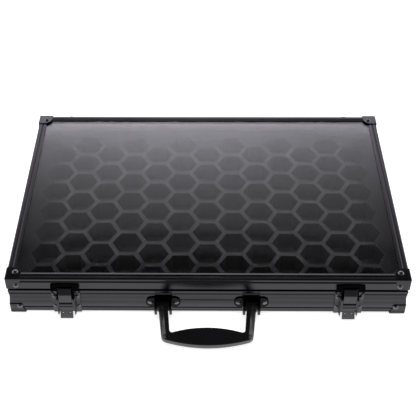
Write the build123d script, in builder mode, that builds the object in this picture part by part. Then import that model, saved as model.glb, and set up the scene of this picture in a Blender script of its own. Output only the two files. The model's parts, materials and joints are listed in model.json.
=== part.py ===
from build123d import *

import os
from math import sqrt

# A shallow dice display case: black extruded rails around a clear lid and a honeycomb foam insert.
# Millimetres, +Z up, +X along the length, the front with its latches and handle towards -Y.
# Z is 0 at the undersides of the bottom corner guards, on which the case lies.

# Case over its corner guards
CASE_LENGTH = 457.0
CASE_DEPTH = 304.0
CASE_HEIGHT = 57.0
GUARD_SHEET = 1.0

RAIL_LENGTH = CASE_LENGTH - 2 * GUARD_SHEET
RAIL_DEPTH = CASE_DEPTH - 2 * GUARD_SHEET
LID_TOP = CASE_HEIGHT - GUARD_SHEET
BASE_BOTTOM = GUARD_SHEET
MITRE_REACH = 20.0

# Where lid and base meet: a tongue on the base stands inside the lid's wall
BASE_RIM = 36.4
PARTING_GAP = 3.2
TONGUE_SHEET = 1.4
TONGUE_RISE = 5.6
TONGUE_PLAY = 0.2
LEDGE_SHEET = 1.4

LID_EDGE = BASE_RIM + PARTING_GAP
TONGUE_TOP = BASE_RIM + TONGUE_RISE

# Lid rail section
LID_WALL = 1.8
TOP_FLANGE_SHEET = 1.4
TOP_FLANGE_REACH = 10.2
SLOT_FLOOR_SHEET = 1.2
SLOT_FLOOR_REACH = 7.0
LID_EDGE_RADIUS = 2.0
GROOVE_STEP = 0.3
LID_GROOVE_DROP = 3.5
LID_GROOVE_WIDTH = 3.2
LID_GROOVE_DEPTH = 1.1
TOP_GROOVE_START = 4.6
TOP_GROOVE_WIDTH = 2.6
TOP_GROOVE_DEPTH = 0.7
TOP_LIP_DROP = 0.8

# Clear window sheet
WINDOW_SHEET = 3.0
SLOT_PLAY = 0.1
SHEET_EDGE_PLAY = 0.3

WINDOW_TOP = LID_TOP - TOP_FLANGE_SHEET - SLOT_PLAY
WINDOW_BOTTOM = WINDOW_TOP - WINDOW_SHEET
SLOT_FLOOR_TOP = WINDOW_BOTTOM - SLOT_PLAY

# Base rail section
BASE_WALL = 2.6
WAIST_DEPTH = 0.7
WAIST_FOOT_UP = 19.5
WAIST_SLOPE = 3.0
WAIST_BLEND = 6.0
SHADOW_GROOVE_UP = 9.6
SHADOW_GROOVE_DEPTH = 1.1
SHADOW_GROOVE_WIDTH = 1.8
BASE_EDGE_RADIUS = 2.6
RIM_RADIUS = 0.6
BASE_GROOVE_DROP = 3.6
BASE_GROOVE_WIDTH = 2.6
BASE_GROOVE_DEPTH = 0.8
SHOULDER_DROP = 12.0
BOTTOM_FLANGE_SHEET = 1.2
BOTTOM_FLANGE_REACH = 10.0
KEEPER_FLANGE_SHEET = 1.1
KEEPER_FLANGE_REACH = 8.0

# Bottom panel and foam
PANEL_SHEET = 3.0
PAD_THICKNESS = 3.2
PAD_PLAY = 0.3
INSERT_HEIGHT = 23.5
INSERT_PLAY = 0.4
INSERT_CORNER_RADIUS = 3.0
CELL_PITCH = 36.9
CELL_WALL = 5.8
CELL_BORDER = 4.5
CELL_GRID_FORWARD = 6.0

PANEL_BOTTOM = BASE_BOTTOM + BOTTOM_FLANGE_SHEET + SLOT_PLAY
PANEL_TOP = PANEL_BOTTOM + PANEL_SHEET
TONGUE_OUTSIDE = LID_WALL + TONGUE_PLAY
TONGUE_INSIDE = TONGUE_OUTSIDE + TONGUE_SHEET
INSERT_LENGTH = RAIL_LENGTH - 2 * (TONGUE_INSIDE + INSERT_PLAY)
INSERT_DEPTH = RAIL_DEPTH - 2 * (TONGUE_INSIDE + INSERT_PLAY)
CELL_ACROSS = CELL_PITCH - CELL_WALL
CELL_COLUMN_PITCH = CELL_PITCH * sqrt(3) / 2

# As many cells as the insert holds within its border, with every other column half a pitch further back
room_along = INSERT_LENGTH - 2 * CELL_BORDER - CELL_ACROSS * 2 / sqrt(3)
room_deep = INSERT_DEPTH - 2 * (CELL_BORDER + CELL_GRID_FORWARD) - CELL_ACROSS
CELL_COLUMNS = 1 + int(room_along / CELL_COLUMN_PITCH)
CELLS_PER_COLUMN = int(room_deep / CELL_PITCH + 1 / 2)

# Corner guards, pressed from sheet
GUARD_REACH = 17.0
GUARD_EDGE_RADIUS = 1.6
GUARD_LOBE_START = 3.5
GUARD_LOBE_MARGIN = 3.9
LID_GUARD_FOOT = 13.5
LID_GUARD_FOOT_RADIUS = 5.0
LID_GUARD_LIFT = 0.4
BASE_GUARD_HEIGHT = 14.0
BASE_GUARD_HEAD = 12.5
BASE_GUARD_HEAD_RADIUS = 3.0

# Rivets
RIVET_HEAD_RADIUS = 3.5
RIVET_HEAD_HEIGHT = 2.0
RIVET_SHANK_RADIUS = 1.5
RIVET_PLAY = 0.1
SMALL_HEAD_RADIUS = 2.2
SMALL_HEAD_HEIGHT = 1.2
SMALL_SHANK_RADIUS = 1.25
TOP_RIVET_INSET = 10.0
TOP_RIVET_TAIL_RADIUS = 2.5
BASE_RIVET_TAIL_RADIUS = 1.75
RIVET_TAIL_SHEET = 1.0
LEG_RIVET_INSET = 11.0
BASE_LEG_RIVET_UP = 10.6

LID_LEG_RIVET_UP = (LID_EDGE + SLOT_FLOOR_TOP) / 2

# Latches: a lever on two studs, a link on the lever's pin, and a keeper on the lid
LATCH_INSET = 66.1
LATCH_SHEET = 1.0
LATCH_WIDTH = 33.2
LATCH_BOTTOM = 2.0
LATCH_TOP_DROP = 0.3
LATCH_CORNER_RADIUS = 2.5
CHANNEL_WIDTH = 18.4
CHEEK_SHEET = 1.0
CHEEK_REACH = 8.8
CHEEK_TOP_DROP = 1.3
CHEEK_KNEE_DROP = 9.0
CHEEK_HEEL_REACH = 6.2
WING_RISE = 1.2
WING_MARGIN = 0.6
LATCH_RIVET_SPREAD = 27.2
LATCH_RIVET_LOW = 13.5
LATCH_RIVET_HIGH_DROP = 7.0
STUD_HEAD_HEIGHT = 1.0
LEVER_PIVOT_OUT = 6.0
LEVER_PIVOT_DROP = 7.2
LINK_PIVOT_OUT = 5.2
LINK_PIVOT_DROP = 16.0
LATCH_METAL = 1.2
LATCH_PIN_RADIUS = 1.2
PIN_RUNNING_PLAY = 0.06
SIDE_PLAY = 0.3
LEVER_BOSS_RADIUS = 2.6
LINK_EYE_RADIUS = 3.0
TAB_NECK_WIDTH = 14.2
TAB_END_WIDTH = 14.8
TAB_END_RADIUS = 1.6
TAB_TOP = 17.2
TAB_SHOULDER = 15.8
TAB_NECK = 14.6
TAB_OUT = 7.6
TAB_TIP_OUT = 11.8
TAB_TIP_UP = 2.8
TAB_HOLE_RADIUS = 0.85
TAB_HOLE_SPREAD = 8.0
TAB_HOLE_UP = 9.2
HOOK_PLAY = 0.4
HOOK_OUT = 4.6
HOOK_LIFT = 0.4
LINK_ROOM = 2.6
LINK_KNEE_DROP = 0.4
LINK_OUT = 7.8
LINK_HEEL_DROP = 11.0
KEEPER_WIDTH = 32.6
KEEPER_EDGE_LIFT = 0.2
KEEPER_SHOULDER_RISE = 7.9
KEEPER_CROWN_RISE = 8.7
KEEPER_HOOD_OUT = 4.4
KEEPER_HOOD_FLAT = 1.0
KEEPER_CORNER_RADIUS = 1.6
SHELF_OUT = 2.4
SHELF_RISE = 3.2
SHELF_SHEET = 1.2
KEEPER_RIVET_SPREAD = 25.2
KEEPER_RIVET_BITE = 0.8

LATCH_SPREAD = RAIL_LENGTH - 2 * LATCH_INSET
LATCH_PLACES = {"left": -LATCH_SPREAD / 2, "right": LATCH_SPREAD / 2}
LATCH_TOP = BASE_RIM - LATCH_TOP_DROP
LATCH_RIVET_HIGH = BASE_RIM - LATCH_RIVET_HIGH_DROP
CHEEK_TOP = BASE_RIM - CHEEK_TOP_DROP
CHEEK_KNEE_UP = BASE_RIM - CHEEK_KNEE_DROP
LEVER_PIVOT_UP = BASE_RIM - LEVER_PIVOT_DROP
LINK_PIVOT_UP = BASE_RIM - LINK_PIVOT_DROP
LINK_KNEE_UP = BASE_RIM - LINK_KNEE_DROP
LINK_HEEL_UP = BASE_RIM - LINK_HEEL_DROP
SHELF_TOP = LID_EDGE + SHELF_RISE
KEEPER_SHOULDER_UP = LID_EDGE + KEEPER_SHOULDER_RISE
KEEPER_CROWN_UP = LID_EDGE + KEEPER_CROWN_RISE
KEEPER_RIVET_UP = (TONGUE_TOP + TONGUE_PLAY + LEDGE_SHEET + SLOT_FLOOR_TOP - SLOT_FLOOR_SHEET) / 2
ARM_OUTSIDE = CHANNEL_WIDTH / 2 - SIDE_PLAY
ARM_INSIDE = ARM_OUTSIDE - LATCH_METAL
LINK_HALF_WIDTH = ARM_INSIDE - SIDE_PLAY

# Handle and its brackets
BRACKET_SPREAD = 101.2
BRACKET_LENGTH = 40.0
BRACKET_WIDTH = 15.6
BRACKET_SHEET = 1.1
BRACKET_RIVET_SPREAD = 29.4
BRACKET_RIVET_RADIUS = 3.2
EAR_GAP = 14.0
EAR_SHEET = 3.0
EAR_RADIUS = 6.0
EAR_FOOT_OUT = 6.6
EAR_FOOT_UP = 8.6
EAR_FOOT_RADIUS = 3.8
HANDLE_PIN_OUT = 7.0
HANDLE_PIN_UP = 18.0
HANDLE_PIN_RADIUS = 2.0
HANDLE_PIN_HEAD_RADIUS = 2.8
HANDLE_PIN_HEAD_HEIGHT = 1.0
HANDLE_THICKNESS = 11.0
HANDLE_REST_ANGLE = 15.2
POST_WIDTH = 11.0
POST_FOOT_OUTSIDE = 51.4
POST_FOOT_INSIDE = 42.2
GRIP_CORNER_OUT = 42.0
GRIP_CORNER_IN = 35.0
GRIP_OUTER_REACH = 50.0
GRIP_INNER_REACH = 28.2
GRIP_CORNER_RADIUS = 8.0
GRIP_INNER_RADIUS = 3.0
HANDLE_BEVEL = 3.4
HANDLE_INNER_BEVEL = 1.0

HANDLE_PLACES = {"left": -BRACKET_SPREAD / 2, "right": BRACKET_SPREAD / 2}

# Rear hinges and feet
HINGE_INSET = 87.5
HINGE_LENGTH = 50.0
HINGE_SHEET = 1.5
HINGE_AXIS_OUT = 5.0
HINGE_KNUCKLES = 5
KNUCKLE_RADIUS = 3.2
KNUCKLE_END_PLAY = 0.15
HINGE_PIN_RADIUS = 1.5
HINGE_PIN_HEAD_RADIUS = 2.4
HINGE_PIN_HEAD_HEIGHT = 0.8
LID_LEAF_RISE = 10.3
BASE_LEAF_DROP = 10.1
LEAF_EDGE_CLEARANCE = 0.3
LEAF_CORNER_RADIUS = 2.0
HINGE_RIVET_SPREAD = 36.0
LID_LEAF_RIVET_RISE = 6.9
BASE_LEAF_RIVET_DROP = 6.6
REAR_FOOT_INSET = 40.5
REAR_FOOT_REACH = 9.0
REAR_FOOT_RADIUS = 4.8
REAR_FOOT_TAPER = 5.0
LID_FOOT_RISE = 5.5

HINGE_SPREAD = RAIL_LENGTH - 2 * HINGE_INSET
REAR_FOOT_SPREAD = RAIL_LENGTH - 2 * REAR_FOOT_INSET
HINGE_AXIS_UP = (BASE_RIM + LID_EDGE) / 2
LID_LEAF_TOP = LID_EDGE + LID_LEAF_RISE
LID_LEAF_RIVET_UP = LID_EDGE + LID_LEAF_RIVET_RISE
BASE_LEAF_BOTTOM = BASE_RIM - BASE_LEAF_DROP
BASE_LEAF_RIVET_UP = BASE_RIM - BASE_LEAF_RIVET_DROP
LID_FOOT_UP = LID_EDGE + LID_FOOT_RISE
BASE_FOOT_UP = (WAIST_FOOT_UP + SHADOW_GROOVE_UP) / 2
HINGE_PLACES = {"left": -HINGE_SPREAD / 2, "right": HINGE_SPREAD / 2}

pieces = {}


def finish(name, piece):
    piece.part.label = name
    pieces[name] = piece.part


# Planes that the pieces are placed by
def face_plane(turn, reach):
    """The rails' outer face on one side: x along the side, y up, z outward."""
    side = Plane.XY.rotated((0, 0, turn))
    return Plane(origin=side.from_local_coords((0, -reach, 0)), x_dir=side.x_dir, z_dir=-side.y_dir)


def plan_plane(face):
    """The floor, seen from one side: x along the side, y inward, z up."""
    return Plane(origin=face.origin, x_dir=face.x_dir, z_dir=face.y_dir)


def inward_section(face, along):
    """A cut across a side: x inward from the face, y up."""
    return Plane(origin=face.from_local_coords((along, 0, 0)), x_dir=-face.z_dir, z_dir=face.x_dir)


def outward_section(face, along):
    """A cut across a side: x outward from the face, y up."""
    return Plane(origin=face.from_local_coords((along, 0, 0)), x_dir=face.z_dir, z_dir=-face.x_dir)


FACES = {
    "front": face_plane(0, RAIL_DEPTH / 2),
    "right": face_plane(90, RAIL_LENGTH / 2),
    "rear": face_plane(180, RAIL_DEPTH / 2),
    "left": face_plane(270, RAIL_LENGTH / 2),
}
SIDE_LENGTHS = {"front": RAIL_LENGTH, "right": RAIL_DEPTH, "rear": RAIL_LENGTH, "left": RAIL_DEPTH}
FRONT = FACES["front"]
REAR = FACES["rear"]


def corner_plane(side):
    """The rails' corner at the start of a side, on the floor: x and y both point into the case."""
    face = FACES[side]
    start = face.from_local_coords((-SIDE_LENGTHS[side] / 2, 0, 0))
    return Plane(origin=start, x_dir=face.x_dir, z_dir=(0, 0, 1))


CORNERS = {
    "front_left": corner_plane("front"),
    "front_right": corner_plane("right"),
    "rear_right": corner_plane("rear"),
    "rear_left": corner_plane("left"),
}


# Rivets and pins
def rivet(head_radius, head_height, shank_radius, grip, tail_radius=0.0):
    """A domed rivet on +Z whose head sits on Z = 0 and whose shank, and tail if any, go below it."""
    with BuildPart() as shape:
        with BuildSketch(Plane.XZ):
            with BuildLine():
                TangentArc((0, head_height), (head_radius, 0), tangent=(1, 0))
                if tail_radius:
                    tail_end = -grip - RIVET_TAIL_SHEET
                    corners = [(shank_radius, -grip), (tail_radius, -grip), (tail_radius, tail_end)]
                else:
                    tail_end = -grip
                    corners = [(shank_radius, -grip)]
                Polyline((head_radius, 0), (shank_radius, 0), *corners, (0, tail_end), (0, head_height))
            make_face()
        revolve(axis=Axis.Z)
    return shape.part


def headed_pin(radius, length, head_radius, head_height):
    """A pin along Z, centred, with a domed head on each end."""
    half = length / 2
    with BuildPart() as shape:
        with BuildSketch(Plane.XZ):
            with BuildLine():
                TangentArc((0, half + head_height), (head_radius, half), tangent=(1, 0))
                Polyline((head_radius, half), (radius, half), (radius, -half), (head_radius, -half))
                TangentArc((0, -half - head_height), (head_radius, -half), tangent=(1, 0))
                Line((0, -half - head_height), (0, half + head_height))
            make_face()
        revolve(axis=Axis.Z)
    return shape.part


def place_all(name, shape, places):
    """Copies of one shape at several places, as separate solids of one piece."""
    with BuildPart() as group:
        with Locations(*places):
            add(shape)
    finish(name, group)


def seats(face, spots, out=0.0):
    """Planes on a face, facing outward, at spots of (along, up)."""
    return [
        Plane(origin=face.from_local_coords((along, up, out)), x_dir=face.x_dir, z_dir=face.z_dir)
        for along, up in spots
    ]


# Holes in the rails, as (along, up, radius) on each face
def leg_holes(side, up):
    reach = SIDE_LENGTHS[side] / 2 - LEG_RIVET_INSET
    radius = RIVET_SHANK_RADIUS + RIVET_PLAY
    return [(-reach, up, radius), (reach, up, radius)]


def latch_rivet_spots():
    return [
        (place + along, up)
        for place in LATCH_PLACES.values()
        for along in (-LATCH_RIVET_SPREAD / 2, LATCH_RIVET_SPREAD / 2)
        for up in (LATCH_RIVET_LOW, LATCH_RIVET_HIGH)
    ]


def spread_spots(places, spread, up):
    return [(place + along, up) for place in places.values() for along in (-spread / 2, spread / 2)]


def hinge_rivet_spots(up):
    offsets = (-HINGE_RIVET_SPREAD / 2, 0, HINGE_RIVET_SPREAD / 2)
    return [(place + offset, up) for place in HINGE_PLACES.values() for offset in offsets]


def small_holes(spots):
    return [(along, up, SMALL_SHANK_RADIUS + RIVET_PLAY) for along, up in spots]


BRACKET_RIVET_SPOTS = spread_spots(HANDLE_PLACES, BRACKET_RIVET_SPREAD, HANDLE_PIN_UP)
KEEPER_RIVET_SPOTS = spread_spots(LATCH_PLACES, KEEPER_RIVET_SPREAD, KEEPER_RIVET_UP)


# Rails
def lid_section():
    """Outline of the lid rail as (inward, up) points with a radius at each."""
    groove_top = LID_TOP - LID_GROOVE_DROP
    groove_bottom = groove_top - LID_GROOVE_WIDTH
    floor_bottom = SLOT_FLOOR_TOP - SLOT_FLOOR_SHEET
    flange_bottom = LID_TOP - TOP_FLANGE_SHEET
    ledge_bottom = TONGUE_TOP + TONGUE_PLAY
    ledge_reach = TONGUE_INSIDE + TONGUE_PLAY
    top_groove_end = TOP_GROOVE_START + TOP_GROOVE_WIDTH
    return [
        (0, LID_EDGE, 0),
        (0, groove_bottom, 0),
        (LID_GROOVE_DEPTH, groove_top - GROOVE_STEP, 0),
        (0, groove_top, 0),
        (0, LID_TOP, LID_EDGE_RADIUS),
        (TOP_GROOVE_START, LID_TOP, 0),
        (TOP_GROOVE_START + GROOVE_STEP, LID_TOP - TOP_GROOVE_DEPTH, 0),
        (top_groove_end, LID_TOP, 0),
        (TOP_FLANGE_REACH, LID_TOP - TOP_LIP_DROP, 0),
        (TOP_FLANGE_REACH, flange_bottom, 0),
        (LID_WALL, flange_bottom, 0),
        (LID_WALL, SLOT_FLOOR_TOP, 0),
        (SLOT_FLOOR_REACH, SLOT_FLOOR_TOP, 0),
        (SLOT_FLOOR_REACH, floor_bottom, 0),
        (LID_WALL, floor_bottom, 0),
        (LID_WALL, ledge_bottom + LEDGE_SHEET, 0),
        (ledge_reach, ledge_bottom + LEDGE_SHEET, 0),
        (ledge_reach, ledge_bottom, 0),
        (LID_WALL, ledge_bottom, 0),
        (LID_WALL, LID_EDGE, 0),
    ]


def base_section():
    """Outline of the base rail as (inward, up) points with a radius at each."""
    groove_top = BASE_RIM - BASE_GROOVE_DROP
    groove_bottom = groove_top - BASE_GROOVE_WIDTH
    shadow_bottom = SHADOW_GROOVE_UP - SHADOW_GROOVE_WIDTH
    keeper_bottom = PANEL_TOP + SLOT_PLAY
    keeper_top = keeper_bottom + KEEPER_FLANGE_SHEET
    flange_top = BASE_BOTTOM + BOTTOM_FLANGE_SHEET
    shoulder = BASE_RIM - SHOULDER_DROP
    step = TONGUE_INSIDE - BASE_WALL
    return [
        (0, BASE_BOTTOM, BASE_EDGE_RADIUS),
        (0, shadow_bottom, 0),
        (SHADOW_GROOVE_DEPTH, shadow_bottom + GROOVE_STEP, 0),
        (SHADOW_GROOVE_DEPTH, SHADOW_GROOVE_UP, 0),
        (0, SHADOW_GROOVE_UP, 0),
        (0, WAIST_FOOT_UP, WAIST_BLEND),
        (WAIST_DEPTH, WAIST_FOOT_UP + WAIST_SLOPE, WAIST_BLEND),
        (WAIST_DEPTH, groove_bottom - GROOVE_STEP, 0),
        (0, groove_bottom, 0),
        (BASE_GROOVE_DEPTH, groove_top - GROOVE_STEP, 0),
        (0, groove_top, 0),
        (0, BASE_RIM, RIM_RADIUS),
        (TONGUE_OUTSIDE, BASE_RIM, 0),
        (TONGUE_OUTSIDE, TONGUE_TOP, 0),
        (TONGUE_INSIDE, TONGUE_TOP, 0),
        (TONGUE_INSIDE, shoulder, 0),
        (BASE_WALL, shoulder - step, 0),
        (BASE_WALL, keeper_top, 0),
        (KEEPER_FLANGE_REACH, keeper_top, 0),
        (KEEPER_FLANGE_REACH, keeper_bottom, 0),
        (BASE_WALL, keeper_bottom, 0),
        (BASE_WALL, flange_top, 0),
        (BOTTOM_FLANGE_REACH, flange_top, 0),
        (BOTTOM_FLANGE_REACH, BASE_BOTTOM, 0),
    ]


def rail(name, side, section, wall_holes, top_hole_radius=0.0):
    """One extruded rail, mitred at both ends and drilled for what is riveted to it."""
    face = FACES[side]
    length = SIDE_LENGTHS[side]
    plan = plan_plane(face)
    with BuildPart() as piece:
        with BuildSketch(inward_section(face, -length / 2)):
            with BuildLine():
                points = [(inward, up) for inward, up, _ in section]
                FilletPolyline(*points, radius=[corner for _, _, corner in section], close=True)
            make_face()
        extrude(amount=length)
        with BuildSketch(plan):
            Polygon(
                (-length / 2, 0),
                (length / 2, 0),
                (length / 2 - MITRE_REACH, MITRE_REACH),
                (MITRE_REACH - length / 2, MITRE_REACH),
                align=None,
            )
        extrude(amount=CASE_HEIGHT, mode=Mode.INTERSECT)
        with BuildSketch(face):
            for along, up, radius in wall_holes:
                with Locations((along, up)):
                    Circle(radius)
        extrude(amount=-TONGUE_INSIDE, mode=Mode.SUBTRACT)
        if top_hole_radius:
            reach = length / 2 - TOP_RIVET_INSET
            with BuildSketch(plan.offset(LID_TOP)):
                with Locations((-reach, TOP_RIVET_INSET), (reach, TOP_RIVET_INSET)):
                    Circle(top_hole_radius)
            extrude(amount=-TOP_FLANGE_SHEET, mode=Mode.SUBTRACT)
    finish(name, piece)


LID_HOLES = {
    "front": small_holes(KEEPER_RIVET_SPOTS),
    "rear": small_holes(hinge_rivet_spots(LID_LEAF_RIVET_UP)),
}
BASE_HOLES = {
    "front": small_holes(latch_rivet_spots() + BRACKET_RIVET_SPOTS),
    "rear": small_holes(hinge_rivet_spots(BASE_LEAF_RIVET_UP)),
}

for side in FACES:
    rail(
        f"lid_rail_{side}",
        side,
        lid_section(),
        leg_holes(side, LID_LEG_RIVET_UP) + LID_HOLES.get(side, []),
        RIVET_SHANK_RADIUS + RIVET_PLAY,
    )
    rail(
        f"base_rail_{side}",
        side,
        base_section(),
        leg_holes(side, BASE_LEG_RIVET_UP) + BASE_HOLES.get(side, []),
    )

# Clear window in the lid rails' slot, drilled for the four top rivets
with BuildPart() as lid_window:
    window_inset = LID_WALL + SHEET_EDGE_PLAY
    with BuildSketch(Plane.XY.offset(WINDOW_BOTTOM)):
        Rectangle(RAIL_LENGTH - 2 * window_inset, RAIL_DEPTH - 2 * window_inset)
        with GridLocations(RAIL_LENGTH - 2 * TOP_RIVET_INSET, RAIL_DEPTH - 2 * TOP_RIVET_INSET, 2, 2):
            Circle(RIVET_SHANK_RADIUS + RIVET_PLAY, mode=Mode.SUBTRACT)
    extrude(amount=WINDOW_SHEET)
finish("lid_window", lid_window)

# Bottom panel in the base rails' slot
with BuildPart() as bottom_panel:
    panel_inset = BASE_WALL + SHEET_EDGE_PLAY
    with BuildSketch(Plane.XY.offset(PANEL_BOTTOM)):
        Rectangle(RAIL_LENGTH - 2 * panel_inset, RAIL_DEPTH - 2 * panel_inset)
    extrude(amount=PANEL_SHEET)
finish("bottom_panel", bottom_panel)

# Foam pad that the cells stand on, inside the panel's upper flanges
with BuildPart() as foam_pad:
    pad_inset = KEEPER_FLANGE_REACH + PAD_PLAY
    with BuildSketch(Plane.XY.offset(PANEL_TOP)):
        Rectangle(RAIL_LENGTH - 2 * pad_inset, RAIL_DEPTH - 2 * pad_inset)
    extrude(amount=PAD_THICKNESS)
finish("foam_pad", foam_pad)


# Honeycomb insert: regular cells in columns, cut a little nearer the front than the back
def cell_centres():
    return [
        (
            (column - (CELL_COLUMNS - 1) / 2) * CELL_COLUMN_PITCH,
            (cell - (CELLS_PER_COLUMN - 1) / 2 + (column % 2 - 1 / 2) / 2) * CELL_PITCH
            - CELL_GRID_FORWARD,
        )
        for column in range(CELL_COLUMNS)
        for cell in range(CELLS_PER_COLUMN)
    ]


with BuildPart() as honeycomb_insert:
    with BuildSketch(Plane.XY.offset(PANEL_TOP + PAD_THICKNESS)):
        RectangleRounded(INSERT_LENGTH, INSERT_DEPTH, INSERT_CORNER_RADIUS)
        with Locations(*cell_centres()):
            RegularPolygon(CELL_ACROSS / 2, 6, major_radius=False, mode=Mode.SUBTRACT)
    extrude(amount=INSERT_HEIGHT)
finish("honeycomb_insert", honeycomb_insert)


# Corner guards
def guard_shape(bottom, top, flat_on_top, leg, rivet_up):
    """A three-sided corner guard round the corner at the origin, with x and y into the case.

    The inner edge of its flat bulges into a lobe that carries the top rivet.
    """
    lobe = TOP_RIVET_INSET + GUARD_LOBE_MARGIN
    with BuildPart() as guard:
        with BuildSketch(Plane.XY.offset(bottom)):
            with BuildLine():
                Polyline(
                    (GUARD_LOBE_START, GUARD_REACH),
                    (-GUARD_SHEET, GUARD_REACH),
                    (-GUARD_SHEET, -GUARD_SHEET),
                    (GUARD_REACH, -GUARD_SHEET),
                    (GUARD_REACH, GUARD_LOBE_START),
                )
                ThreePointArc((GUARD_REACH, GUARD_LOBE_START), (lobe, lobe), (GUARD_LOBE_START, GUARD_REACH))
            make_face()
        extrude(amount=top - bottom)
        upright = guard.edges().filter_by(Axis.Z).sort_by_distance((0, 0, bottom))[0]
        flat_face = guard.faces().sort_by(Axis.Z)[-1 if flat_on_top else 0]
        outer_edges = flat_face.edges().filter_by(GeomType.LINE).sort_by(SortBy.LENGTH)[-2:]
        fillet([upright] + outer_edges, GUARD_EDGE_RADIUS)
        hollow_bottom = bottom if flat_on_top else bottom + GUARD_SHEET
        with BuildSketch(Plane.XY.offset(hollow_bottom)):
            Rectangle(2 * GUARD_REACH, 2 * GUARD_REACH, align=(Align.MIN, Align.MIN))
        extrude(amount=top - bottom - GUARD_SHEET, mode=Mode.SUBTRACT)
        leg_planes = (
            Plane(origin=(0, 0, 0), x_dir=(1, 0, 0), z_dir=(0, -1, 0)),
            Plane(origin=(0, 0, 0), x_dir=(0, 1, 0), z_dir=(1, 0, 0)),
        )
        for plane in leg_planes:
            with BuildSketch(plane):
                with BuildLine():
                    points = [(along, up) for along, up, _ in leg]
                    FilletPolyline(*points, radius=[corner for _, _, corner in leg], close=True)
                make_face()
            extrude(amount=2 * GUARD_REACH, both=True, mode=Mode.INTERSECT)
            with BuildSketch(plane):
                with Locations((LEG_RIVET_INSET, rivet_up)):
                    Circle(RIVET_SHANK_RADIUS + RIVET_PLAY)
            extrude(amount=GUARD_SHEET, both=True, mode=Mode.SUBTRACT)
        if flat_on_top:
            with Locations((TOP_RIVET_INSET, TOP_RIVET_INSET, top)):
                Hole(RIVET_SHANK_RADIUS + RIVET_PLAY, GUARD_SHEET)
    return guard.part


lid_guard_bottom = LID_EDGE + LID_GUARD_LIFT
lid_guard = guard_shape(
    lid_guard_bottom,
    CASE_HEIGHT,
    True,
    [
        (-GUARD_SHEET, lid_guard_bottom, 0),
        (LID_GUARD_FOOT, lid_guard_bottom, LID_GUARD_FOOT_RADIUS),
        (GUARD_REACH, LID_TOP, 0),
        (GUARD_REACH, CASE_HEIGHT, 0),
        (-GUARD_SHEET, CASE_HEIGHT, 0),
    ],
    LID_LEG_RIVET_UP,
)
base_guard = guard_shape(
    0,
    BASE_GUARD_HEIGHT,
    False,
    [
        (-GUARD_SHEET, 0, 0),
        (GUARD_REACH, 0, 0),
        (GUARD_REACH, BASE_BOTTOM, 0),
        (BASE_GUARD_HEAD, BASE_GUARD_HEIGHT, BASE_GUARD_HEAD_RADIUS),
        (-GUARD_SHEET, BASE_GUARD_HEIGHT, 0),
    ],
    BASE_LEG_RIVET_UP,
)
for corner, plane in CORNERS.items():
    place_all(f"lid_guard_{corner}", lid_guard, [plane])
    place_all(f"base_guard_{corner}", base_guard, [plane])


def leg_rivet_seats(up):
    """Seats on the two legs of each guard, facing outward."""
    spots = []
    for side, face in FACES.items():
        reach = SIDE_LENGTHS[side] / 2 - LEG_RIVET_INSET
        spots += seats(face, [(-reach, up), (reach, up)], GUARD_SHEET)
    return spots


top_rivet = rivet(
    RIVET_HEAD_RADIUS,
    RIVET_HEAD_HEIGHT,
    RIVET_SHANK_RADIUS,
    CASE_HEIGHT - WINDOW_BOTTOM,
    TOP_RIVET_TAIL_RADIUS,
)
top_seats = [
    Plane(origin=plane.from_local_coords((TOP_RIVET_INSET, TOP_RIVET_INSET, CASE_HEIGHT)))
    for plane in CORNERS.values()
]
place_all("lid_guard_top_rivets", top_rivet, top_seats)
lid_leg_rivet = rivet(
    RIVET_HEAD_RADIUS, RIVET_HEAD_HEIGHT, RIVET_SHANK_RADIUS, GUARD_SHEET + LID_WALL
)
place_all("lid_guard_side_rivets", lid_leg_rivet, leg_rivet_seats(LID_LEG_RIVET_UP))
base_leg_rivet = rivet(
    RIVET_HEAD_RADIUS,
    RIVET_HEAD_HEIGHT,
    RIVET_SHANK_RADIUS,
    GUARD_SHEET + BASE_WALL,
    BASE_RIVET_TAIL_RADIUS,
)
place_all("base_guard_rivets", base_leg_rivet, leg_rivet_seats(BASE_LEG_RIVET_UP))


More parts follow.
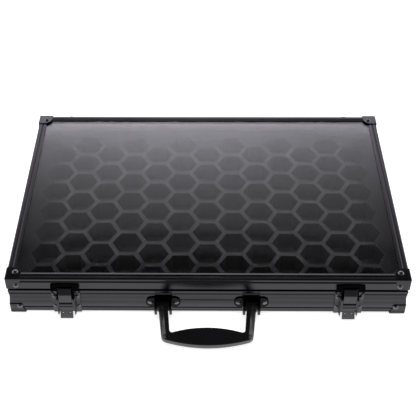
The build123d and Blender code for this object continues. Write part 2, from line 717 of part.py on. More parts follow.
# Latches
def latch_plate(name, place):
    """Base of a latch: a plate with raised wings and two cheeks that carry the lever's studs."""
    middle = (LATCH_TOP + LATCH_BOTTOM) / 2
    channel = CHANNEL_WIDTH / 2
    wing_edge = LATCH_WIDTH / 2 - WING_MARGIN
    with BuildPart() as plate:
        with BuildSketch(FRONT):
            with Locations((place, middle)):
                RectangleRounded(LATCH_WIDTH, LATCH_TOP - LATCH_BOTTOM, LATCH_CORNER_RADIUS)
        extrude(amount=LATCH_SHEET)
        for side in (-1, 1):
            with BuildSketch(FRONT.offset(LATCH_SHEET)):
                Polygon(
                    (place + side * (channel + CHEEK_SHEET / 2), LATCH_BOTTOM + WING_MARGIN),
                    (place + side * wing_edge, LATCH_BOTTOM + WING_MARGIN),
                    (place + side * wing_edge, CHEEK_TOP),
                    (place + side * (wing_edge - CHEEK_SHEET), CHEEK_TOP),
                    (place + side * (channel + CHEEK_SHEET / 2), CHEEK_KNEE_UP),
                    align=None,
                )
            extrude(amount=WING_RISE)
            with BuildSketch(outward_section(FRONT, place + side * (channel + CHEEK_SHEET / 2))):
                Polygon(
                    (0, LATCH_BOTTOM + WING_MARGIN),
                    (CHEEK_HEEL_REACH, LATCH_BOTTOM + WING_MARGIN),
                    (CHEEK_REACH, LATCH_BOTTOM + CHEEK_REACH - CHEEK_HEEL_REACH + WING_MARGIN),
                    (CHEEK_REACH, LEVER_PIVOT_UP),
                    (LATCH_SHEET + WING_RISE, CHEEK_TOP),
                    (0, CHEEK_TOP),
                    align=None,
                )
            extrude(amount=CHEEK_SHEET / 2, both=True)
        with BuildSketch(outward_section(FRONT, place)):
            with Locations((LEVER_PIVOT_OUT, LEVER_PIVOT_UP)):
                Circle(LATCH_PIN_RADIUS + PIN_RUNNING_PLAY)
        extrude(amount=LATCH_WIDTH / 2, both=True, mode=Mode.SUBTRACT)
        with BuildSketch(FRONT):
            for along in (-LATCH_RIVET_SPREAD / 2, LATCH_RIVET_SPREAD / 2):
                with Locations((place + along, LATCH_RIVET_LOW), (place + along, LATCH_RIVET_HIGH)):
                    Circle(SMALL_SHANK_RADIUS + RIVET_PLAY)
        extrude(amount=LATCH_SHEET + WING_RISE, mode=Mode.SUBTRACT)
    finish(name, plate)


def latch_lever(name, place):
    """The lever: two side arms on the studs, the link's pin between them, and the finger tab below."""
    neck = TAB_NECK_WIDTH / 2
    end = TAB_END_WIDTH / 2
    tip_bottom = TAB_TIP_UP - LATCH_METAL
    with BuildPart() as lever:
        with BuildSketch(outward_section(FRONT, place)):
            with BuildLine():
                FilletPolyline(
                    (TAB_OUT, TAB_TOP),
                    (TAB_OUT, TAB_NECK),
                    (TAB_TIP_OUT, TAB_TIP_UP),
                    radius=TAB_TIP_OUT,
                )
            trace(line_width=LATCH_METAL)
        extrude(amount=ARM_OUTSIDE, both=True)
        with BuildSketch(FRONT):
            with BuildLine():
                outline = [
                    (-ARM_OUTSIDE, TAB_TOP + LATCH_METAL, 0),
                    (-ARM_OUTSIDE, TAB_SHOULDER, 0),
                    (-neck, TAB_NECK, 0),
                    (-end, tip_bottom, TAB_END_RADIUS),
                    (end, tip_bottom, TAB_END_RADIUS),
                    (neck, TAB_NECK, 0),
                    (ARM_OUTSIDE, TAB_SHOULDER, 0),
                    (ARM_OUTSIDE, TAB_TOP + LATCH_METAL, 0),
                ]
                FilletPolyline(
                    *[(place + along, up) for along, up, _ in outline],
                    radius=[corner for _, _, corner in outline],
                    close=True,
                )
            make_face()
            with Locations(
                (place - TAB_HOLE_SPREAD / 2, TAB_HOLE_UP), (place + TAB_HOLE_SPREAD / 2, TAB_HOLE_UP)
            ):
                Circle(TAB_HOLE_RADIUS, mode=Mode.SUBTRACT)
        extrude(amount=2 * TAB_TIP_OUT, mode=Mode.INTERSECT)
        for side in (-1, 1):
            with BuildSketch(outward_section(FRONT, place + side * (ARM_OUTSIDE - LATCH_METAL / 2))):
                with Locations((LEVER_PIVOT_OUT, LEVER_PIVOT_UP)):
                    Circle(LEVER_BOSS_RADIUS)
                with Locations((LINK_PIVOT_OUT, LINK_PIVOT_UP)):
                    Circle(LEVER_BOSS_RADIUS)
                with Locations((TAB_OUT - LATCH_METAL / 2, TAB_TOP - LATCH_METAL)):
                    Circle(LATCH_METAL)
                make_hull()
            extrude(amount=LATCH_METAL / 2, both=True)
        with BuildSketch(outward_section(FRONT, place)):
            with Locations((LEVER_PIVOT_OUT, LEVER_PIVOT_UP)):
                Circle(LATCH_PIN_RADIUS + PIN_RUNNING_PLAY)
        extrude(amount=ARM_OUTSIDE, both=True, mode=Mode.SUBTRACT)
        with BuildSketch(outward_section(FRONT, place)):
            with Locations((LINK_PIVOT_OUT, LINK_PIVOT_UP)):
                Circle(LATCH_PIN_RADIUS)
        extrude(amount=ARM_OUTSIDE, both=True)
    finish(name, lever)


def latch_link(name, place):
    """The link: a rolled eye on the lever's pin, a bowed plate, and a hook that ends at the keeper's shelf."""
    hook_up = SHELF_TOP + HOOK_LIFT + LATCH_METAL / 2
    with BuildPart() as link:
        with BuildSketch(outward_section(FRONT, place)):
            with BuildLine():
                FilletPolyline(
                    (SHELF_OUT + HOOK_PLAY, hook_up),
                    (HOOK_OUT, hook_up),
                    (LINK_OUT, LINK_KNEE_UP),
                    (LINK_OUT, LINK_HEEL_UP),
                    (LINK_PIVOT_OUT, LINK_PIVOT_UP + LINK_EYE_RADIUS - LATCH_METAL / 2),
                    radius=[LATCH_METAL, LINK_OUT, LATCH_METAL],
                )
            trace(line_width=LATCH_METAL)
            with Locations((LINK_PIVOT_OUT, LINK_PIVOT_UP)):
                Circle(LINK_EYE_RADIUS)
                Circle(LATCH_PIN_RADIUS + PIN_RUNNING_PLAY, mode=Mode.SUBTRACT)
        extrude(amount=LINK_HALF_WIDTH, both=True)
    finish(name, link)


def latch_keeper(name, place):
    """The keeper on the lid: a sloping hood, open in the middle over the shelf that the link hooks onto."""
    bottom = LID_EDGE + KEEPER_EDGE_LIFT
    half = KEEPER_WIDTH / 2
    slot = CHANNEL_WIDTH / 2 - SIDE_PLAY
    with BuildPart() as keeper:
        with BuildSketch(outward_section(FRONT, place)):
            Polygon(
                (0, bottom),
                (KEEPER_HOOD_OUT, bottom),
                (KEEPER_HOOD_OUT, bottom + KEEPER_HOOD_FLAT),
                (LATCH_SHEET, KEEPER_CROWN_UP),
                (0, KEEPER_CROWN_UP),
                align=None,
            )
        extrude(amount=half, both=True)
        with BuildSketch(FRONT.offset(LATCH_SHEET)):
            with Locations((place, bottom)):
                Rectangle(2 * slot, SHELF_TOP + LINK_ROOM - bottom, align=(Align.CENTER, Align.MIN))
        extrude(amount=KEEPER_HOOD_OUT, mode=Mode.SUBTRACT)
        with BuildSketch(outward_section(FRONT, place)):
            with Locations((0, SHELF_TOP)):
                Rectangle(SHELF_OUT, SHELF_SHEET, align=(Align.MIN, Align.MAX))
        extrude(amount=slot, both=True)
        with BuildSketch(FRONT):
            with BuildLine():
                Polyline(
                    (place - half, KEEPER_SHOULDER_UP),
                    (place - half, bottom),
                    (place + half, bottom),
                    (place + half, KEEPER_SHOULDER_UP),
                )
                ThreePointArc(
                    (place + half, KEEPER_SHOULDER_UP),
                    (place, KEEPER_CROWN_UP),
                    (place - half, KEEPER_SHOULDER_UP),
                )
            hood = make_face()
            fillet(hood.vertices().sort_by(Axis.Y)[-2:], KEEPER_CORNER_RADIUS)
        extrude(amount=KEEPER_HOOD_OUT, mode=Mode.INTERSECT)
        with BuildSketch(FRONT):
            with Locations((place, KEEPER_RIVET_UP)):
                with GridLocations(KEEPER_RIVET_SPREAD, 0, 2, 1):
                    Circle(SMALL_SHANK_RADIUS)
        extrude(amount=KEEPER_RIVET_BITE, mode=Mode.SUBTRACT)
    finish(name, keeper)


for hand, place in LATCH_PLACES.items():
    latch_plate(f"latch_plate_{hand}", place)
    latch_lever(f"latch_lever_{hand}", place)
    latch_link(f"latch_link_{hand}", place)
    latch_keeper(f"latch_keeper_{hand}", place)

wing_front = LATCH_SHEET + WING_RISE
latch_rivet = rivet(SMALL_HEAD_RADIUS, SMALL_HEAD_HEIGHT, SMALL_SHANK_RADIUS, wing_front + LID_WALL)
place_all("latch_plate_rivets", latch_rivet, seats(FRONT, latch_rivet_spots(), wing_front))
keeper_rivet = rivet(SMALL_HEAD_RADIUS, SMALL_HEAD_HEIGHT, SMALL_SHANK_RADIUS, LID_WALL + KEEPER_RIVET_BITE)
place_all("latch_keeper_rivets", keeper_rivet, [
    Plane(origin=FRONT.from_local_coords((along, up, -LID_WALL)), x_dir=FRONT.x_dir, z_dir=-FRONT.z_dir)
    for along, up in KEEPER_RIVET_SPOTS
])


def stud_seats():
    """Outer faces of the cheeks at the lever's pivot, facing away from the channel."""
    planes = []
    for place in LATCH_PLACES.values():
        for side in (-1, 1):
            along = place + side * (CHANNEL_WIDTH / 2 + CHEEK_SHEET)
            origin = FRONT.from_local_coords((along, LEVER_PIVOT_UP, LEVER_PIVOT_OUT))
            planes.append(Plane(origin=origin, x_dir=(0, 0, 1), z_dir=(side, 0, 0)))
    return planes


stud_grip = CHANNEL_WIDTH / 2 + CHEEK_SHEET - ARM_INSIDE
latch_stud = rivet(SMALL_HEAD_RADIUS, STUD_HEAD_HEIGHT, LATCH_PIN_RADIUS, stud_grip)
place_all("latch_pivot_studs", latch_stud, stud_seats())


# Handle
def handle_bracket(name, place):
    """An oval plate with two ears that hold the handle's pin and end in a rounded foot."""
    with BuildPart() as bracket:
        with BuildSketch(FRONT):
            with Locations((place, HANDLE_PIN_UP)):
                SlotOverall(BRACKET_LENGTH, BRACKET_WIDTH)
        extrude(amount=BRACKET_SHEET)
        for side in (-1, 1):
            with BuildSketch(outward_section(FRONT, place + side * (EAR_GAP + EAR_SHEET) / 2)):
                with Locations((HANDLE_PIN_OUT, HANDLE_PIN_UP)):
                    Circle(EAR_RADIUS)
                with Locations((EAR_FOOT_OUT, EAR_FOOT_UP)):
                    Circle(EAR_FOOT_RADIUS)
                make_hull()
                with Locations((0, HANDLE_PIN_UP)):
                    Rectangle(HANDLE_PIN_OUT, 2 * EAR_RADIUS, align=(Align.MIN, Align.CENTER))
            extrude(amount=EAR_SHEET / 2, both=True)
        with BuildSketch(outward_section(FRONT, place)):
            with Locations((HANDLE_PIN_OUT, HANDLE_PIN_UP)):
                Circle(HANDLE_PIN_RADIUS + PIN_RUNNING_PLAY)
        extrude(amount=EAR_GAP, both=True, mode=Mode.SUBTRACT)
        with BuildSketch(FRONT):
            with Locations((place, HANDLE_PIN_UP)):
                with GridLocations(BRACKET_RIVET_SPREAD, 0, 2, 1):
                    Circle(SMALL_SHANK_RADIUS + RIVET_PLAY)
        extrude(amount=BRACKET_SHEET, mode=Mode.SUBTRACT)
    finish(name, bracket)


for hand, place in HANDLE_PLACES.items():
    handle_bracket(f"handle_bracket_{hand}", place)

bracket_rivet = rivet(
    BRACKET_RIVET_RADIUS, SMALL_HEAD_HEIGHT, SMALL_SHANK_RADIUS, BRACKET_SHEET + BASE_WALL
)
place_all("handle_bracket_rivets", bracket_rivet, seats(FRONT, BRACKET_RIVET_SPOTS, BRACKET_SHEET))

handle_pin = headed_pin(
    HANDLE_PIN_RADIUS, EAR_GAP + 2 * EAR_SHEET, HANDLE_PIN_HEAD_RADIUS, HANDLE_PIN_HEAD_HEIGHT
)
handle_pin_places = [
    Plane(
        origin=FRONT.from_local_coords((place, HANDLE_PIN_UP, HANDLE_PIN_OUT)),
        x_dir=(0, 0, 1),
        z_dir=(1, 0, 0),
    )
    for place in HANDLE_PLACES.values()
]
place_all("handle_pivot_pins", handle_pin, handle_pin_places)

# The handle lies along its own plane, y away from the pin, lowered until it all but meets the floor
handle_pin_line = Plane(
    origin=FRONT.from_local_coords((0, HANDLE_PIN_UP, HANDLE_PIN_OUT)), x_dir=(1, 0, 0), z_dir=(0, 0, -1)
)
HANDLE_PLANE = handle_pin_line.rotated((HANDLE_REST_ANGLE, 0, 0))
POST_OUTSIDE = (BRACKET_SPREAD + POST_WIDTH) / 2
POST_INSIDE = (BRACKET_SPREAD - POST_WIDTH) / 2

with BuildPart() as handle:
    with BuildSketch(HANDLE_PLANE):
        with BuildLine():
            Polyline(
                (-POST_FOOT_OUTSIDE, GRIP_CORNER_OUT),
                (-POST_OUTSIDE, 0),
                (POST_OUTSIDE, 0),
                (POST_FOOT_OUTSIDE, GRIP_CORNER_OUT),
            )
            ThreePointArc(
                (POST_FOOT_OUTSIDE, GRIP_CORNER_OUT),
                (0, GRIP_OUTER_REACH),
                (-POST_FOOT_OUTSIDE, GRIP_CORNER_OUT),
            )
        make_face()
    extrude(amount=HANDLE_THICKNESS / 2, both=True)
    across = Axis(HANDLE_PLANE.origin, HANDLE_PLANE.z_dir)
    along = Axis(HANDLE_PLANE.origin, HANDLE_PLANE.y_dir)
    corner_edges = handle.edges().filter_by(across).sort_by(along)[-2:]
    fillet(corner_edges, GRIP_CORNER_RADIUS)
    pin_side = handle.faces().sort_by(along)[0].edges()
    flats = handle.faces().sort_by(across)
    bevel_edges = [edge for edge in flats[0].edges() + flats[-1].edges() if edge not in pin_side]
    chamfer(bevel_edges, HANDLE_BEVEL)
    with BuildSketch(HANDLE_PLANE):
        with BuildLine():
            Polyline(
                (POST_FOOT_INSIDE, GRIP_CORNER_IN),
                (POST_INSIDE, 0),
                (-POST_INSIDE, 0),
                (-POST_FOOT_INSIDE, GRIP_CORNER_IN),
            )
            ThreePointArc(
                (-POST_FOOT_INSIDE, GRIP_CORNER_IN),
                (0, GRIP_INNER_REACH),
                (POST_FOOT_INSIDE, GRIP_CORNER_IN),
            )
        opening = make_face()
        fillet(opening.vertices().sort_by(Axis.Y)[-2:], GRIP_INNER_RADIUS)
    extrude(amount=HANDLE_THICKNESS, both=True, mode=Mode.SUBTRACT)
    inner_edges = handle.edges(Select.LAST).group_by(across)
    chamfer(inner_edges[0] + inner_edges[-1], HANDLE_INNER_BEVEL)
    hub_width = EAR_GAP - 2 * SIDE_PLAY
    for place in HANDLE_PLACES.values():
        with BuildSketch(outward_section(FRONT, place)):
            with Locations((HANDLE_PIN_OUT, HANDLE_PIN_UP)):
                Circle(HANDLE_THICKNESS / 2)
        extrude(amount=hub_width / 2, both=True)
    with BuildSketch(outward_section(FRONT, 0)):
        with Locations((HANDLE_PIN_OUT, HANDLE_PIN_UP)):
            Circle(HANDLE_PIN_RADIUS + PIN_RUNNING_PLAY)
    extrude(amount=BRACKET_SPREAD, both=True, mode=Mode.SUBTRACT)
finish("handle", handle)


# Rear hinges
def hinge_leaf(name, place, edge, far_edge, knuckles, bore, rivet_up):
    """A leaf on the rear face with its knuckles, each joined to the leaf by a web."""
    knuckle_length = HINGE_LENGTH / HINGE_KNUCKLES
    web_side = Align.MIN if far_edge > edge else Align.MAX
    with BuildPart() as leaf:
        with BuildSketch(REAR):
            with Locations((place, (edge + far_edge) / 2)):
                RectangleRounded(HINGE_LENGTH, abs(far_edge - edge), LEAF_CORNER_RADIUS)
        extrude(amount=HINGE_SHEET)
        for knuckle in knuckles:
            centre = place + (knuckle - (HINGE_KNUCKLES - 1) / 2) * knuckle_length
            with BuildSketch(outward_section(REAR, centre)):
                with Locations((HINGE_AXIS_OUT, HINGE_AXIS_UP)):
                    Circle(KNUCKLE_RADIUS)
                with Locations((0, HINGE_AXIS_UP)):
                    Rectangle(HINGE_AXIS_OUT, KNUCKLE_RADIUS, align=(Align.MIN, web_side))
            extrude(amount=knuckle_length / 2 - KNUCKLE_END_PLAY, both=True)
        with BuildSketch(outward_section(REAR, place)):
            with Locations((HINGE_AXIS_OUT, HINGE_AXIS_UP)):
                Circle(bore)
        extrude(amount=HINGE_LENGTH, both=True, mode=Mode.SUBTRACT)
        with BuildSketch(REAR):
            with Locations((place, rivet_up)):
                with GridLocations(HINGE_RIVET_SPREAD / 2, 0, 3, 1):
                    Circle(SMALL_SHANK_RADIUS + RIVET_PLAY)
        extrude(amount=HINGE_SHEET, mode=Mode.SUBTRACT)
    finish(name, leaf)


for hand, place in HINGE_PLACES.items():
    hinge_leaf(
        f"hinge_lid_leaf_{hand}",
        -place,
        LID_EDGE + LEAF_EDGE_CLEARANCE,
        LID_LEAF_TOP,
        (1, 3),
        HINGE_PIN_RADIUS + PIN_RUNNING_PLAY,
        LID_LEAF_RIVET_UP,
    )
    hinge_leaf(
        f"hinge_base_leaf_{hand}",
        -place,
        BASE_RIM - LEAF_EDGE_CLEARANCE,
        BASE_LEAF_BOTTOM,
        (0, 2, 4),
        HINGE_PIN_RADIUS + PIN_RUNNING_PLAY,
        BASE_LEAF_RIVET_UP,
    )

hinge_pin = headed_pin(HINGE_PIN_RADIUS, HINGE_LENGTH, HINGE_PIN_HEAD_RADIUS, HINGE_PIN_HEAD_HEIGHT)
hinge_pin_places = [
    Plane(
        origin=REAR.from_local_coords((place, HINGE_AXIS_UP, HINGE_AXIS_OUT)),
        x_dir=(0, 0, 1),
        z_dir=(1, 0, 0),
    )
    for place in HINGE_PLACES.values()
]
place_all("hinge_pins", hinge_pin, hinge_pin_places)
lid_hinge_rivet = rivet(SMALL_HEAD_RADIUS, SMALL_HEAD_HEIGHT, SMALL_SHANK_RADIUS, HINGE_SHEET + LID_WALL)
place_all(
    "hinge_lid_rivets", lid_hinge_rivet, seats(REAR, hinge_rivet_spots(LID_LEAF_RIVET_UP), HINGE_SHEET)
)
base_hinge_rivet = rivet(
    SMALL_HEAD_RADIUS, SMALL_HEAD_HEIGHT, SMALL_SHANK_RADIUS, HINGE_SHEET + TONGUE_INSIDE
)
place_all(
    "hinge_base_rivets", base_hinge_rivet, seats(REAR, hinge_rivet_spots(BASE_LEAF_RIVET_UP), HINGE_SHEET)
)


# Rear feet, on which the case stands on its back edge
def rear_feet(name, up):
    """Two tapered feet on the rear face."""
    with BuildPart() as feet:
        with BuildSketch(REAR):
            with Locations((0, up)):
                with GridLocations(REAR_FOOT_SPREAD, 0, 2, 1):
                    Circle(REAR_FOOT_RADIUS)
        extrude(amount=REAR_FOOT_REACH, taper=REAR_FOOT_TAPER)
    finish(name, feet)


rear_feet("lid_rear_feet", LID_FOOT_UP)
rear_feet("base_rear_feet", BASE_FOOT_UP)

# The origin goes under the middle of everything, handle and feet included
boxes = [part.bounding_box() for part in pieces.values()]
CASE_SHIFT = -(min(box.min.Y for box in boxes) + max(box.max.Y for box in boxes)) / 2

if __name__ == "__main__":
    os.makedirs("parts", exist_ok=True)
    for name, part in pieces.items():
        export_step(part.moved(Location((0, CASE_SHIFT, 0))), f"parts/{name}.step")
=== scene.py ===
import json
from math import cos, pi, radians, sin, sqrt

import bmesh
import bpy
from mathutils import Matrix, Vector


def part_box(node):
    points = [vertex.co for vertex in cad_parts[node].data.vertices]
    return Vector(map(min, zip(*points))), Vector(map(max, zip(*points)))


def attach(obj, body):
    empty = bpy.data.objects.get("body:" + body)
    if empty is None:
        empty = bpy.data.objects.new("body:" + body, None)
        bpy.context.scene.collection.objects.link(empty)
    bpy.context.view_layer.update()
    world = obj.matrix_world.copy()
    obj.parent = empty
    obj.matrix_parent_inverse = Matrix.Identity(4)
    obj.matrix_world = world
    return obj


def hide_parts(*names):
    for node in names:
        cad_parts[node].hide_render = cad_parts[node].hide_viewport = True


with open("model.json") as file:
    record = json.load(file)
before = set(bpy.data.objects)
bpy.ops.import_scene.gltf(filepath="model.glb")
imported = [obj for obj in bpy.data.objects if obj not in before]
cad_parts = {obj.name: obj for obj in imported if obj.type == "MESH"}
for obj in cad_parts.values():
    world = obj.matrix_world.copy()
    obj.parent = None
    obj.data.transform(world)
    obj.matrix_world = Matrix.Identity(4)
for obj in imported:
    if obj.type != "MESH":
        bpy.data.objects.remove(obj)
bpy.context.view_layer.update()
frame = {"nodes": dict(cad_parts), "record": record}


# Base rails: four lengths of extruded aluminium, black anodised, mitred and held at the corners by
# the riveted guards. The die leaves fine lines along the length, and the oxide keeps a low satin
# mirror that picks up the bright floor.
MM = 0.001
LINES_PER_METRE, BREAKS_PER_METRE = 3300.0, 25.0
ANODISED, ANODISED_ROUGHNESS = ("#474649", "#4d4c4e"), 0.15


def colour(code):
    """Linear colour of an sRGB hex code."""
    parts = [int(code[i : i + 2], 16) / 255 for i in (1, 3, 5)]
    return [p / 12.92 if p <= 0.04045 else ((p + 0.055) / 1.055) ** 2.4 for p in parts] + [1.0]


def new_material(name):
    """An empty material and its node tree."""
    made = bpy.data.materials.new(name)
    made.use_nodes = True
    made.node_tree.nodes.clear()
    return made, made.node_tree


def add_node(tree, kind, links=(), values=(), **settings):
    """One node with its settings, its input values and the sockets that feed it."""
    made = tree.nodes.new(kind)
    for key, value in settings.items():
        setattr(made, key, value)
    for key, value in dict(values).items():
        made.inputs[key].default_value = value
    for key, socket in dict(links).items():
        tree.links.new(socket, made.inputs[key])
    return made


def extruded_aluminium(name, along, tint, rough):
    """Anodised extrusion: die lines 0.3 mm apart run along the rail, and its polish wanders."""
    made, tree = new_material(name)
    place = add_node(tree, "ShaderNodeTexCoord")
    scale = [LINES_PER_METRE] * 3
    scale["xyz".index(along)] = BREAKS_PER_METRE
    lines_at = add_node(
        tree, "ShaderNodeMapping", {"Vector": place.outputs["Object"]}, {"Scale": scale}
    )
    lines = add_node(
        tree,
        "ShaderNodeTexNoise",
        {"Vector": lines_at.outputs[0]},
        {"Scale": 1.0, "Detail": 2.0, "Roughness": 0.6},
    )
    cloud = add_node(
        tree,
        "ShaderNodeTexNoise",
        {"Vector": place.outputs["Object"]},
        {"Scale": 28.0, "Detail": 3.0},
    )
    rough_lines = add_node(
        tree,
        "ShaderNodeMapRange",
        {"Value": lines.outputs["Fac"]},
        {"From Min": 0.3, "From Max": 0.7, "To Min": rough - 0.05, "To Max": rough + 0.06},
    )
    rough_all = add_node(
        tree,
        "ShaderNodeMath",
        {0: cloud.outputs["Fac"], 2: rough_lines.outputs[0]},
        {1: 0.06},
        operation="MULTIPLY_ADD",
    )
    shade = add_node(
        tree,
        "ShaderNodeMix",
        {"Factor": cloud.outputs["Fac"]},
        {"A": colour(tint[0]), "B": colour(tint[1])},
        data_type="RGBA",
    )
    relief = add_node(
        tree,
        "ShaderNodeBump",
        {"Height": lines.outputs["Fac"]},
        {"Strength": 0.12, "Distance": 0.03 * MM},
    )
    skin = add_node(
        tree,
        "ShaderNodeBsdfPrincipled",
        {
            "Base Color": shade.outputs["Result"],
            "Roughness": rough_all.outputs[0],
            "Normal": relief.outputs[0],
        },
        {"Metallic": 1.0},
    )
    add_node(tree, "ShaderNodeOutputMaterial", {"Surface": skin.outputs[0]})
    return made


def dress(names, material):
    """Gives CAD nodes their material."""
    for name in names:
        data = frame["nodes"][name].data
        data.materials.clear()
        data.materials.append(material)


rail_across = extruded_aluminium("anodised_extrusion_across", "x", ANODISED, ANODISED_ROUGHNESS)
rail_along = extruded_aluminium("anodised_extrusion_along", "y", ANODISED, ANODISED_ROUGHNESS)
dress(["base_rail_front", "base_rail_rear"], rail_across)
dress(["base_rail_left", "base_rail_right"], rail_along)


# Lid rails: the same black anodised aluminium in a shallower extrusion, mitred round the window
# and held at the corners by the riveted lid guards. It shows the same die lines and satin mirror.
dress(["lid_rail_front", "lid_rail_rear"], rail_across)
dress(["lid_rail_left", "lid_rail_right"], rail_along)


# Bottom panel: thin board faced with black grained vinyl, slid into the rails' lower slot before
# the last corner is closed. The embossed grain breaks up the light, so it looks dull and soft.
def grained_vinyl(name):
    """Embossed vinyl: rounded pebbles about 1 mm across with finer creases between them."""
    made, tree = new_material(name)
    place = add_node(tree, "ShaderNodeTexCoord")
    pebbles = add_node(
        tree,
        "ShaderNodeTexVoronoi",
        {"Vector": place.outputs["Object"]},
        {"Scale": 900.0, "Smoothness": 0.6},
        feature="SMOOTH_F1",
    )
    creases = add_node(
        tree,
        "ShaderNodeTexNoise",
        {"Vector": place.outputs["Object"]},
        {"Scale": 1800.0, "Detail": 3.0},
    )
    height = add_node(
        tree,
        "ShaderNodeMath",
        {0: creases.outputs["Fac"], 2: pebbles.outputs["Distance"]},
        {1: 0.3},
        operation="MULTIPLY_ADD",
    )
    relief = add_node(
        tree,
        "ShaderNodeBump",
        {"Height": height.outputs[0]},
        {"Strength": 0.5, "Distance": 0.3 * MM},
    )
    rough = add_node(
        tree,
        "ShaderNodeMapRange",
        {"Value": pebbles.outputs["Distance"]},
        {"To Min": 0.42, "To Max": 0.66},
    )
    shade = add_node(
        tree,
        "ShaderNodeMix",
        {"Factor": pebbles.outputs["Distance"]},
        {"A": colour("#232325"), "B": colour("#171718")},
        data_type="RGBA",
    )
    skin = add_node(
        tree,
        "ShaderNodeBsdfPrincipled",
        {
            "Base Color": shade.outputs["Result"],
            "Roughness": rough.outputs[0],
            "Normal": relief.outputs[0],
        },
        {"IOR": 1.5},
    )
    add_node(tree, "ShaderNodeOutputMaterial", {"Surface": skin.outputs[0]})
    return made


dress(["bottom_panel"], grained_vinyl("black_grained_vinyl"))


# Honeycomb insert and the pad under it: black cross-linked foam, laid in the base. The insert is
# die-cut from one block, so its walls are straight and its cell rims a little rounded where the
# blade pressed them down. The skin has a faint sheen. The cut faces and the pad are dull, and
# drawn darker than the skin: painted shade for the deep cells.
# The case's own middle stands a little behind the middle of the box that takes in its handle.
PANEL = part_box("bottom_panel")
CASE_Y = (PANEL[0].y + PANEL[1].y) / 2
CELL_PITCH = 36.9 * MM
CELL_WALL = 5.8 * MM
CELLS_FORWARD = 6.0 * MM
CELL_COLUMNS = 13
CELLS_PER_COLUMN = 7
OUTER_COLUMN = (CELL_COLUMNS - 1) / 2 * CELL_PITCH * sqrt(3) / 2
OUTER_CELL = CASE_Y - CELLS_FORWARD - CELL_PITCH / 4
RIM_ROUND = 0.4 * MM
PAD_EDGE = 0.5 * MM
# A face whose normal rises more than this is skin. The others are cut, with painted shade.
SKIN_NORMAL = 0.4
# The foam is drawn darker from the outer columns out to the edge, and over the front cells, where
# the photograph's light leaves it darker. This is shade in the material, and not another foam.
SIDE_FROM, SIDE_TO = 2 * MM, CELL_PITCH / 2 + 1 * MM
FOAM_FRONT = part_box("honeycomb_insert")[0][1]
FRONT_FROM, FRONT_TO, FRONT_SHARE = FOAM_FRONT + 50 * MM, FOAM_FRONT + 38 * MM, 0.65
# Its specular level falls there too. The export drops a level that varies over a piece.
SKIN_GLOSS, SHADED_GLOSS = 0.32, 0.05


def closed_cell_foam(name, tint, shade_tint, dull):
    """Foam: opened 0.5 mm bubbles; sides and front cells get painted shade, duller and darker."""
    made, tree = new_material(name)
    place = add_node(tree, "ShaderNodeTexCoord")
    bubbles = add_node(
        tree,
        "ShaderNodeTexVoronoi",
        {"Vector": place.outputs["Object"]},
        {"Scale": 2000.0},
        feature="F1",
    )
    mottle = add_node(
        tree,
        "ShaderNodeTexNoise",
        {"Vector": place.outputs["Object"]},
        {"Scale": 160.0, "Detail": 4.0},
    )
    shade = add_node(
        tree,
        "ShaderNodeMix",
        {"Factor": mottle.outputs["Fac"]},
        {"A": colour(tint[0]), "B": colour(tint[1])},
        data_type="RGBA",
    )
    painted_shade = add_node(
        tree,
        "ShaderNodeMix",
        {"Factor": mottle.outputs["Fac"]},
        {"A": colour(shade_tint[0]), "B": colour(shade_tint[1])},
        data_type="RGBA",
    )
    spot = add_node(tree, "ShaderNodeSeparateXYZ", {0: place.outputs["Object"]})
    side = add_node(tree, "ShaderNodeMath", {0: spot.outputs["X"]}, operation="ABSOLUTE")
    past = add_node(
        tree, "ShaderNodeMath", {0: side.outputs[0]}, {1: OUTER_COLUMN}, operation="SUBTRACT"
    )
    from_cell = add_node(
        tree, "ShaderNodeMath", {0: spot.outputs["Y"]}, {1: OUTER_CELL}, operation="SUBTRACT"
    )
    along = add_node(
        tree,
        "ShaderNodeMath",
        {0: from_cell.outputs[0]},
        {1: CELL_PITCH / 2},
        operation="PINGPONG",
    )
    half_along = add_node(
        tree, "ShaderNodeMath", {0: along.outputs[0]}, {1: sin(pi / 6)}, operation="MULTIPLY"
    )
    ring = add_node(
        tree,
        "ShaderNodeMath",
        {0: past.outputs[0], 2: half_along.outputs[0]},
        {1: cos(pi / 6)},
        operation="MULTIPLY_ADD",
    )
    at_side = add_node(
        tree,
        "ShaderNodeMapRange",
        {"Value": ring.outputs[0]},
        {"From Min": SIDE_FROM, "From Max": SIDE_TO},
    )
    at_front = add_node(
        tree,
        "ShaderNodeMapRange",
        {"Value": spot.outputs["Y"]},
        {"From Min": FRONT_FROM, "From Max": FRONT_TO, "To Max": FRONT_SHARE},
    )
    shade_share = add_node(
        tree,
        "ShaderNodeMath",
        {0: at_side.outputs[0], 1: at_front.outputs[0]},
        operation="MAXIMUM",
    )
    both = add_node(
        tree,
        "ShaderNodeMix",
        {
            "Factor": shade_share.outputs[0],
            "A": shade.outputs["Result"],
            "B": painted_shade.outputs["Result"],
        },
        data_type="RGBA",
    )
    gloss = add_node(
        tree,
        "ShaderNodeMapRange",
        {"Value": shade_share.outputs[0]},
        {"To Min": SKIN_GLOSS, "To Max": SHADED_GLOSS},
    )
    relief = add_node(
        tree,
        "ShaderNodeBump",
        {"Height": bubbles.outputs["Distance"]},
        {"Strength": 0.12, "Distance": 0.2 * MM},
    )
    rough = add_node(
        tree,
        "ShaderNodeMapRange",
        {"Value": mottle.outputs["Fac"]},
        {"To Min": dull - 0.1, "To Max": dull + 0.1},
    )
    skin = add_node(
        tree,
        "ShaderNodeBsdfPrincipled",
        {
            "Base Color": both.outputs["Result"],
            "Roughness": rough.outputs[0],
            "Specular IOR Level": gloss.outputs[0],
            "Normal": relief.outputs[0],
        },
        {"IOR": 1.5},
    )
    add_node(tree, "ShaderNodeOutputMaterial", {"Surface": skin.outputs[0]})
    return made


